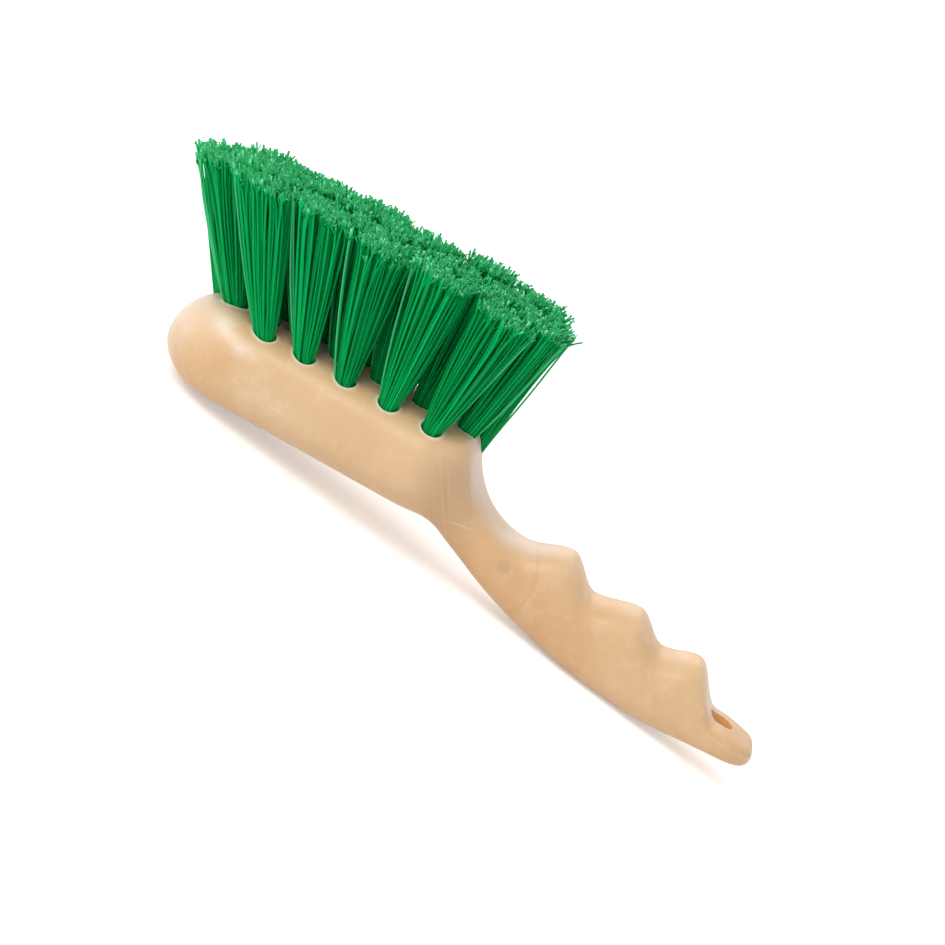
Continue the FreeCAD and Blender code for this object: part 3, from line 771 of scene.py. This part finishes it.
def green_filament():
    """Extruded green filament: tone differs per filament, painted shade at the root, pale cut tips that are
    partly a painted highlight.
    """
    group = settings("brush_tufts")
    green, deep, mint = tuple(group.green), tuple(group.deep), tuple(group.mint)
    material, shading, shader = new_material("green_filament")
    place = shading.place()
    tone = shading.attribute("tone")
    way = shading.attribute("way")
    colour = shading.mix(shading.remap(tone, 0.0, 0.55), deep, green)
    colour = shading.mix(shading.remap(tone, 0.6, 1.0, 0.0, 0.8), colour, TINTS["bright_green"])
    colour = shading.mix(shading.remap(tone, 1.1, 1.5, 0.0, 0.25), colour, mint)
    # painted shade: darker towards the root, where the filaments crowd into the hole
    colour = shading.mix(shading.remap(way, 0.1, 0.4, 0.2, 0.0), colour, deep)
    # pale tips: split ends and a painted highlight on the cut ends, in specks
    speckle = shading.noise(place, 620.0, 2.0)
    pale = shading.times(shading.remap(speckle, 0.52, 0.62), shading.remap(tone, 0.35, 0.8))
    tip = shading.times(shading.remap(way, 0.955, 0.995), shading.remap(pale, 0.0, 1.0, 0.15, 1.0))
    colour = shading.mix(tip, colour, mint)
    shading.links.new(colour, shader.inputs["Base Color"])
    shading.links.new(shading.remap(speckle, 0.3, 0.7, 0.42, 0.6), shader.inputs["Roughness"])
    shader.inputs["Specular IOR Level"].default_value = 0.06
    shading.bump(shader, shading.noise(place, 2600.0, 2.0), 0.2, 0.05)
    return material


def anchor_steel():
    """Drawn flat wire: grey steel with fine marks."""
    material, shading, shader = new_material("anchor_steel")
    marks = shading.noise(shading.place(), 2200.0, 3.0)
    colour = shading.mix(marks, TINTS["dark_steel"], TINTS["light_steel"])
    shading.links.new(colour, shader.inputs["Base Color"])
    shading.links.new(shading.remap(marks, 0.3, 0.7, 0.25, 0.45), shader.inputs["Roughness"])
    shader.inputs["Metallic"].default_value = 1.0
    return material


def use_material(obj, material):
    obj.data.materials.clear()
    obj.data.materials.append(material)


# Marks on the moulding, in millimetres. Stretches are (from, to), humps (middle, width) and places (station,
# height). Stations run from the toe tip, heights from the back and depths from the top line.
CREST_DEPTH, CREST_STRETCH, CREST_RISE = (-5.0, -0.5), (118.0, 132.0), (1.0, 4.0)
TOE_STRETCH, TOE_FOOT = (0.0, 30.0), 4.0
HEEL, HEEL_HEIGHT = (103.0, 6.0), (8.0, 20.0)
# the crests and the toe are pale from wear and from a painted highlight, the heel's top from a painted
# highlight
CREST_WEAR_AND_HIGHLIGHT, TOE_WEAR_AND_HIGHLIGHT, HEEL_HIGHLIGHT = 0.3, 0.9, 0.6
SEAM_STATION, SEAM_WIDTH, SEAM_STRETCH = 105.0, 5.0, (190.0, 205.0)
SEAM_FAINT, SEAM_NECK, SEAM_TAB = 0.04, 0.9, 0.4
NECK = (112.0, 18.0)
SPOT, SPOT_EDGE = (122.7, -1.3), (1.2, 2.9)
FLOW_RING, FLOW_RADIUS, FLOW_STRETCH = (118.0, -4.0), 15.5, (124.0, 129.0)
SCUFF, SCUFF_HEIGHT = (40.0, 13.0), (11.5, 4.5)
SHADE, SHADE_HEIGHT, SHADE_DRAW = (98.0, 8.0), (18.0, 27.0), (0.88, 0.48)
# Painted highlight: two soft glints on the near side of the toe's shoulder
GLINTS = (((16.6, 4.0), (24.6, 2.2)), ((22.7, 5.0), (21.3, 2.0)))  # along and up
# Painted rim highlight: a pale band just under the neck's top line, and a pale toe tip
RIM_DEPTH, RIM_START, RIM_END = (-4.0, -0.5), (96.0, 106.0), (128.0, 142.0)
TOE_RIM, TOE_RIM_STRENGTH = (1.0, 11.0), 0.6
GATE, GATE_DEPTH, GATE_ACROSS = (186.5, 1.8), (-2.2, -0.8), (0.0, 5.0)
# From the axes of the tuft holes and of the hanging hole
# Edges of the painted highlight round each tuft hole's lip and of the painted glow in the hanging hole's
# bore
LIP_HIGHLIGHT_EDGE, BORE_EDGE = (3.9, 4.7), (4.3, 5.0)
# Painted shade in a ring round each tuft hole on the face, between the tufts
BETWEEN_START, BETWEEN_END = (4.4, 5.2), (6.0, 9.0)
BETWEEN_ACROSS, BETWEEN_HEIGHT = (-17.0, -12.0), (23.0, 26.0)
SHARP_ANGLE = math.radians(38.0)


# Operators
class OBJECT_OT_brush_moulding(bpy.types.Operator):
    """Build the block and handle as one soft moulding with drilled holes"""

    bl_idname = "object.brush_moulding"
    bl_label = "Moulding"

    def execute(self, context):
        points, faces = closed_tube(moulding_skin())
        obj = make_object("moulding", to_rest(points), faces)
        carve(obj, hole_cutters())
        self.mark_places(obj.data)
        obj.data.set_sharp_from_angle(angle=SHARP_ANGLE)
        use_material(obj, tan_plastic())
        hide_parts(BLOCK_NODE)
        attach(obj, ROOT)
        return {"FINISHED"}

    def mark_places(self, mesh):
        """Store where the moulding is worn, rubbed, seamed and so on, and where highlights, shade and the
        hanging hole's glow are painted, for its material.
        """
        flat = np.empty(len(mesh.vertices) * 3, dtype=np.float32)
        mesh.vertices.foreach_get("co", flat)
        points = to_design(flat.reshape(-1, 3).astype(float))
        x, y, z = points.T
        group = settings("brush_moulding")
        drop, height, end, inset = mm(group, "handle_drop", "block_height", "handle_end", "hang_inset")
        near = y < 0.0
        over = z - drop
        _, top, _ = moulding_outline(x)
        below_top = z - top
        valley = np.interp(x, *np.array(GRIP_TURNS[::2]).T)
        crest = smooth_step(below_top, *CREST_DEPTH) * smooth_step(x, *CREST_STRETCH)
        crest = crest * smooth_step(grip_top(x) - valley, *CREST_RISE)
        toe = fade(x, *TOE_STRETCH) * smooth_step(over, TOE_FOOT, height)
        heel = hump(x, *HEEL) * smooth_step(over, *HEEL_HEIGHT)
        seam = SEAM_NECK * np.exp(-(((x - SEAM_STATION) / SEAM_WIDTH) ** 4))
        seam = SEAM_FAINT + seam + SEAM_TAB * smooth_step(x, *SEAM_STRETCH)
        # painted rim highlight just under the top line, from the heel along the neck
        rim_light = smooth_step(below_top, *RIM_DEPTH) * smooth_step(x, *RIM_START) * fade(x, *RIM_END)
        hole = mouth_distance(points)
        # painted shade on the face between the tufts
        between = smooth_step(hole, *BETWEEN_START) * fade(hole, *BETWEEN_END)
        between = between * smooth_step(y, *BETWEEN_ACROSS) * smooth_step(over, *BETWEEN_HEIGHT)
        # painted highlight: two soft glints on the toe's shoulder
        glint = sum(hump(x, *along) * hump(over, *up) for along, up in GLINTS)
        places = {
            # pale wear with a painted highlight on the crests and the toe, and a painted highlight on the
            # heel's top
            "worn": np.clip(CREST_WEAR_AND_HIGHLIGHT * crest + TOE_WEAR_AND_HIGHLIGHT * toe + HEEL_HIGHLIGHT * heel, 0.0, 1.0),
            "seam": z - seam_level(x),
            "seam_strength": seam,
            "neck": hump(x, *NECK),
            "spot": near * fade(np.hypot(x - SPOT[0], over - SPOT[1]), *SPOT_EDGE),
            "flow": np.hypot(x - FLOW_RING[0], over - FLOW_RING[1]) - FLOW_RADIUS,
            "flow_strength": near * smooth_step(x, *FLOW_STRETCH),
            "scuff": near * hump(x, *SCUFF) * hump(over, *SCUFF_HEIGHT),
            "shade": hump(x, *SHADE) * fade(over, *SHADE_HEIGHT),
            "across": SHADE_DRAW[0] * x + SHADE_DRAW[1] * z,
            # painted highlight on the near side of the toe's shoulder
            "glint": near * glint,
            # painted rim highlight, also round the toe tip
            "rim_light": rim_light + TOE_RIM_STRENGTH * fade(x, *TOE_RIM),
            "gate": smooth_step(below_top, *GATE_DEPTH) * hump(x, *GATE) * hump(y, *GATE_ACROSS),
            # painted shade between the tufts
            "between": between,
            # painted highlight on the tuft holes' lips
            "lip": fade(hole, *LIP_HIGHLIGHT_EDGE),
            # painted glow in the hanging hole's bore
            "bore_glow": fade(np.hypot(x - end + inset, y), *BORE_EDGE),
        }
        for name, values in places.items():
            set_values(mesh, name, values)


class OBJECT_OT_brush_tufts(bpy.types.Operator):
    """Build every tuft as a fan of separate filaments"""

    bl_idname = "object.brush_tufts"
    bl_label = "Tufts"

    def execute(self, context):
        group = settings("brush_tufts")
        material = green_filament()
        axes = tuft_axes()
        level = trim_plane(axes)
        for number, (node, (mouth, direction, tip)) in enumerate(axes.items()):
            rng = np.random.default_rng(group.seed + number)
            paths = tuft_paths(mouth, direction, tip, level, rng)
            radius = group.thickness / MM / 2 * rng.uniform(*THICKNESS_SHARES, len(paths))
            tone = rng.uniform(0.0, 1.0, len(paths))
            tone[len(paths) - group.strays :] = STRAY_TONE
            frays = frayed_ends(paths, rng)
            fray_radius = rng.uniform(*FRAY_RADII, len(frays))
            tubes = filament_tubes(paths, radius, FILAMENT_SIDES, rng)
            fray_tubes = filament_tubes(frays, fray_radius, FRAY_SIDES, rng)
            fray_tone = rng.uniform(*FRAY_TONES, len(frays))
            groups = [(tubes, tone, 0.0), (fray_tubes, fray_tone, FRAY_WAY)]
            obj = tuft_mesh(node.replace("tuft_", "bristles_"), groups)
            use_material(obj, material)
            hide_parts(node)
            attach(obj, ROOT)
        return {"FINISHED"}


class OBJECT_OT_brush_anchors(bpy.types.Operator):
    """Give the wire anchors at the bottom of the holes their steel finish"""

    bl_idname = "object.brush_anchors"
    bl_label = "Anchors"

    def execute(self, context):
        material = anchor_steel()
        for name in ANCHOR_NODES:
            use_material(frame["nodes"][name], material)
        return {"FINISHED"}


# Stage: the floor's own light as seen, and the sky's light on surfaces
FLOOR_GLOW, SKY_LIGHT = 0.4, 0.66
LAMP_AIM = (0.0, 0.0, 0.03)
LAMPS = (
    # name, place and size in metres, watts
    ("key", (-0.7, -0.7, 0.85), 0.8, 8.0),
    ("rim_light", (-0.25, 0.8, 0.7), 0.9, 3.0),
)


class OBJECT_OT_brush_stage(bpy.types.Operator):
    """Set up the floor, the soft studio light and the camera"""

    bl_idname = "object.brush_stage"
    bl_label = "Stage"

    def execute(self, context):
        group = settings("brush_stage")
        scene = context.scene
        scene.view_settings.view_transform = "Standard"
        self.lay_floor(group)
        self.light_world(scene)
        self.hang_lamps()
        self.place_camera(scene, group)
        return {"FINISHED"}

    def lay_floor(self, group):
        reach = 40.0
        corners = reach * np.array([[-1.0, -1.0, 0.0], [1.0, -1.0, 0.0], [1.0, 1.0, 0.0], [-1.0, 1.0, 0.0]])
        floor = make_object("floor", corners, [[0, 1, 2, 3]], smooth=False)
        material, shading, shader = new_material("floor_white")
        shader.inputs["Base Color"].default_value = (*group.floor, 1.0)
        shader.inputs["Roughness"].default_value = 0.9
        shader.inputs["Specular IOR Level"].default_value = 0.0
        shader.inputs["Emission Color"].default_value = (1.0, 1.0, 1.0, 1.0)
        glow = shading.times(shading.seen_directly(), FLOOR_GLOW)
        shading.links.new(glow, shader.inputs["Emission Strength"])
        use_material(floor, material)

    def light_world(self, scene):
        world = bpy.data.worlds.new("studio")
        scene.world = world
        world.use_nodes = True
        shading = Shading(world.node_tree)
        background = shading.nodes["Background"]
        background.inputs["Color"].default_value = (1.0, 1.0, 1.0, 1.0)
        strength = shading.remap(shading.seen_directly(), 0.0, 1.0, SKY_LIGHT, 1.0)
        shading.links.new(strength, background.inputs["Strength"])

    def hang_lamps(self):
        for name, place, width, watts in LAMPS:
            data = bpy.data.lights.new(name, "AREA")
            data.energy = watts
            data.size = width
            lamp = bpy.data.objects.new(name, data)
            lamp.location = place
            ray = Vector(LAMP_AIM) - Vector(place)
            lamp.rotation_euler = ray.to_track_quat("-Z", "Y").to_euler()
            bpy.context.collection.objects.link(lamp)

    def place_camera(self, scene, group):
        turn, _ = rest_pose()
        up_tilt, roll = group.elevation, group.roll
        right = np.array([1.0, 0.0, 0.0])
        up = np.array([0.0, math.sin(up_tilt), math.cos(up_tilt)])
        back = np.array([0.0, -math.cos(up_tilt), math.sin(up_tilt)])
        rolled_right = math.cos(roll) * right + math.sin(roll) * up
        rolled_up = -math.sin(roll) * right + math.cos(roll) * up
        aim = to_rest(np.array([[group.aim_along / MM, 0.0, group.aim_height / MM]]))[0]
        axes = [turn @ axis for axis in (rolled_right, rolled_up, back)]
        matrix = np.eye(4)
        matrix[:3, :3] = np.stack(axes, axis=-1)
        matrix[:3, 3] = aim + axes[2] * group.distance
        data = bpy.data.cameras.new("camera")
        data.sensor_width = 36.0
        data.lens = data.sensor_width * group.distance / group.view_width
        data.clip_end = 30.0
        camera = bpy.data.objects.new("camera", data)
        camera.matrix_world = Matrix(matrix.tolist())
        bpy.context.collection.objects.link(camera)
        scene.camera = camera


class VIEW3D_PT_scrub_brush(bpy.types.Panel):
    """Sidebar panel with the brush's steps and settings"""

    bl_label = "Scrub Brush"
    bl_space_type = "VIEW_3D"
    bl_region_type = "UI"
    bl_category = "Scrub Brush"

    def draw(self, context):
        for operator in OPERATORS:
            self.layout.operator(operator.bl_idname)
        for name in SETTINGS:
            box = self.layout.box()
            group = getattr(context.scene, name)
            for key in group.bl_rna.properties.keys():
                if key not in ("rna_type", "name"):
                    box.prop(group, key)


SETTINGS = {
    "brush_moulding": BrushMouldingSettings,
    "brush_tufts": BrushTuftSettings,
    "brush_stage": BrushStageSettings,
}
OPERATORS = (OBJECT_OT_brush_moulding, OBJECT_OT_brush_tufts, OBJECT_OT_brush_anchors, OBJECT_OT_brush_stage)
CLASSES = (*SETTINGS.values(), *OPERATORS, VIEW3D_PT_scrub_brush)


def register():
    for cls in CLASSES:
        bpy.utils.register_class(cls)
    for name, cls in SETTINGS.items():
        setattr(bpy.types.Scene, name, bpy.props.PointerProperty(type=cls))


def unregister():
    for name in SETTINGS:
        delattr(bpy.types.Scene, name)
    for cls in reversed(CLASSES):
        bpy.utils.unregister_class(cls)


def main():
    register()
    bpy.ops.object.brush_moulding()
    bpy.ops.object.brush_tufts()
    bpy.ops.object.brush_anchors()
    bpy.ops.object.brush_stage()


if __name__ == "__main__":
    main()
